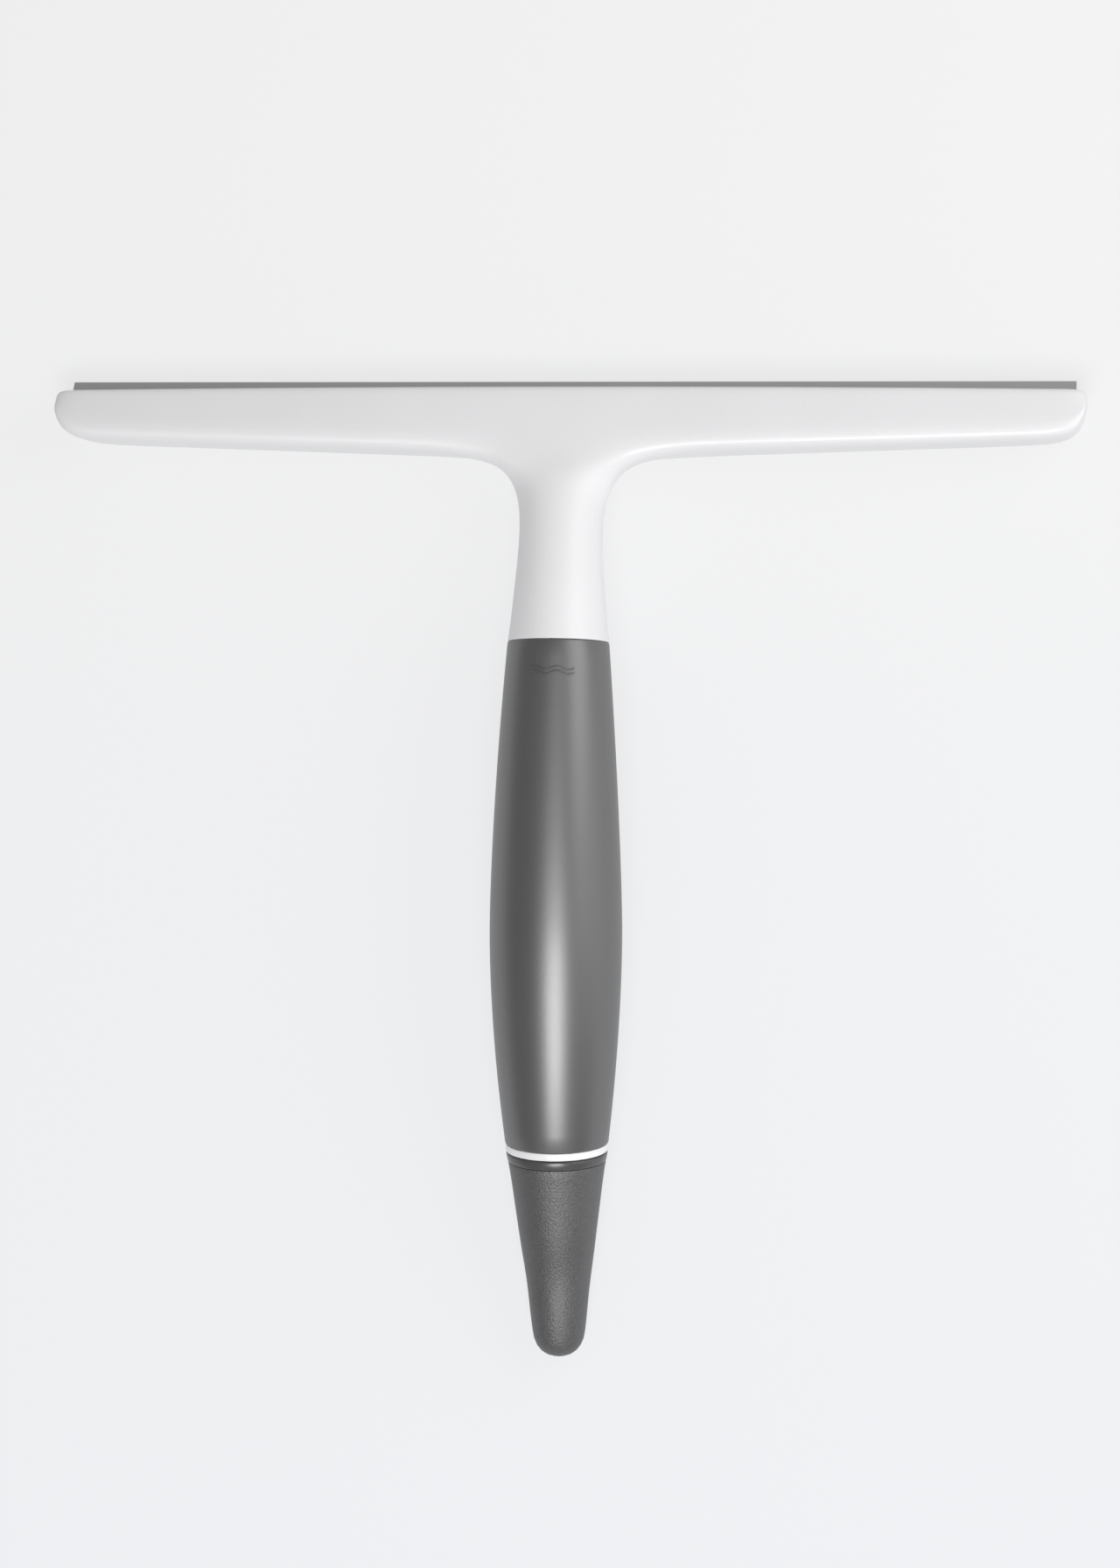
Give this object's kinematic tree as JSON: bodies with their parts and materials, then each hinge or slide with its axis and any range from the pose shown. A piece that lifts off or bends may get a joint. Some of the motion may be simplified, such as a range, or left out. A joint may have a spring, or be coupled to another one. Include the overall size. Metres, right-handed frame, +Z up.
{
  "type": "window cleaning squeegee",
  "caption": "T-shaped window squeegee: white head with a sprung rubber blade, bowed soft grip and a screw-in tail over a pole socket.",
  "frame": {"origin": "middle of the footprint at the table, with the squeegee lying on its back", "axes": "+X along the head, +Y along the handle from the tail to the blade, +Z up, out of the front face"},
  "size_m": [0.259, 0.2454, 0.0359],
  "materials": {
    "white_shell": "satin moulded white",
    "white_ring": "satin moulded white",
    "steel": "stainless",
    "rail_metal": "anodised extrusion",
    "blade_rubber": "natural rubber, mid grey",
    "core_plastic": "moulded",
    "grip_rubber": "soft satin grip rubber, dark grey",
    "seal_rubber": "black",
    "socket_plastic": "glass-filled nylon",
    "plug_plastic": "glass-filled nylon",
    "collar_plastic": "smooth dark grey",
    "tail_rubber": "finely textured soft rubber, dark grey"
  },
  "bodies": {
    "root": {"head_shell": "white_shell", "back_cover": "white_shell", "accent_ring": "white_ring", "cover_screws": "steel", "blade_rail": "rail_metal", "blade_clip_left": "steel", "blade_clip_right": "steel", "blade_bead": "blade_rubber", "handle_core": "core_plastic", "grip_sleeve": "grip_rubber", "neck_pin": "steel", "neck_gasket": "seal_rubber", "pole_socket": "socket_plastic", "socket_pins": "steel"},
    "lip": {"blade_lip": "blade_rubber"},
    "seal": {"seal_ring": "seal_rubber"},
    "tail": {"tail_plug": "plug_plastic", "tail_collar": "collar_plastic", "tail_grip": "tail_rubber"}
  },
  "joints": [
    {"name": "lip_flex", "type": "hinge", "parent": "root", "child": "lip", "pos_m": [0, 0.11671, 0.00711], "axis": [1, 0, 0], "range_deg": [-15, 35], "stiffness_Nm_per_rad": 0.1},
    {"name": "tail_travel", "type": "slide", "parent": "root", "child": "seal", "axis": [0, -0.989, -0.1478], "range_m": [0, 0.02032]},
    {"name": "tail_turn", "type": "hinge", "parent": "seal", "child": "tail", "pos_m": [0, -0.06795, 0.01354], "axis": [0, -0.989, -0.1478], "range_deg": [0, 1440]}
  ],
  "couplings": [
    {"joint": "tail_travel", "follows": "tail_turn", "m_per_rad": 0.00080851}
  ]
}
